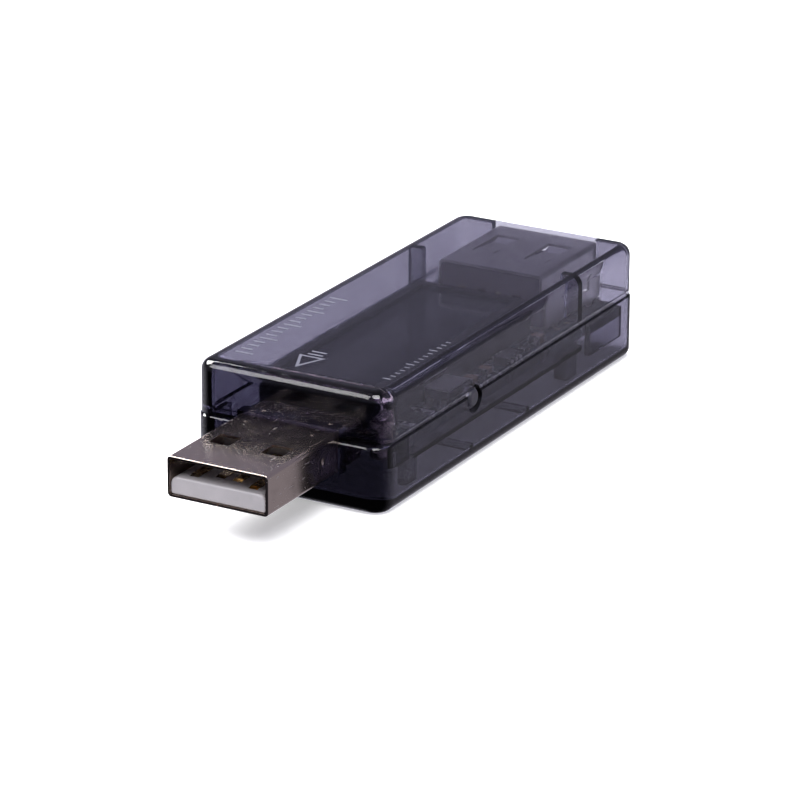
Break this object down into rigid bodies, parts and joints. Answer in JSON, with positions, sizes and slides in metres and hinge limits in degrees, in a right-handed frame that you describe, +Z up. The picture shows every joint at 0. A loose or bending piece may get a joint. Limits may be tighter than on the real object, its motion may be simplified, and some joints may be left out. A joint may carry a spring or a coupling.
{
  "type": "usb power meter",
  "caption": "In-line USB power meter: flat translucent smoke case with a type A plug at one end, a type A socket at the other, a display under the roof and a side button.",
  "frame": {"origin": "on the underside, below the middle of the whole length, plug included", "axes": "+Y from the plug's tip towards the socket's mouth, +Z up through the display, +X to the side with the button"},
  "size_m": [0.023, 0.073, 0.0135],
  "materials": {
    "smoke_shell": "polished translucent smoke grey",
    "nickel_sheet": "nickel-plated rolled sheet",
    "socket_sheet": "bright tinned sheet",
    "pale_plastic": "smooth moulded",
    "gilt_contact": "gold-flashed",
    "tinned_lead": "tinned",
    "board": "dark solder mask",
    "black_plastic": "moulded black",
    "display_glass": "polished dark display cell",
    "milky_guide": "milky light guide",
    "button_plastic": "polished",
    "chip_epoxy": "moulded epoxy",
    "ceramic_tan": "fired ceramic",
    "resistor_black": "glazed",
    "solder": "reflowed",
    "crystal_metal": "drawn can"
  },
  "bodies": {
    "housing": {"upper_shell": "smoke_shell", "lower_shell": "smoke_shell", "circuit_board": "board", "plug_shell": "nickel_sheet", "plug_insulator": "pale_plastic", "plug_contacts": "gilt_contact", "socket_shell": "socket_sheet", "socket_insulator": "pale_plastic", "socket_contacts": "gilt_contact", "display_bezel": "black_plastic", "display_glass": "display_glass", "backlight_guide": "milky_guide", "display_pins": "tinned_lead", "switch_body": "black_plastic", "switch_cover": "tinned_lead", "switch_terminals": "tinned_lead", "shunt_resistor": "resistor_black", "shunt_terminals": "solder", "microcontroller": "chip_epoxy", "microcontroller_leads": "tinned_lead", "memory_chip": "chip_epoxy", "memory_chip_leads": "tinned_lead", "amplifier_chip": "chip_epoxy", "amplifier_leads": "tinned_lead", "voltage_regulator": "chip_epoxy", "regulator_leads": "tinned_lead", "protection_diode": "chip_epoxy", "diode_terminals": "tinned_lead", "capacitors": "ceramic_tan", "capacitor_terminals": "solder", "resistors": "resistor_black", "resistor_terminals": "solder", "crystal_can": "crystal_metal", "solder_joints": "solder"},
    "button": {"button_cap": "button_plastic", "switch_stem": "black_plastic"}
  },
  "joints": [
    {"name": "button_press", "type": "slide", "parent": "housing", "child": "button", "axis": [-1, 0, 0], "range_m": [0, 0.0003], "stiffness_N_per_m": 800, "springref_m": -0.0005}
  ]
}
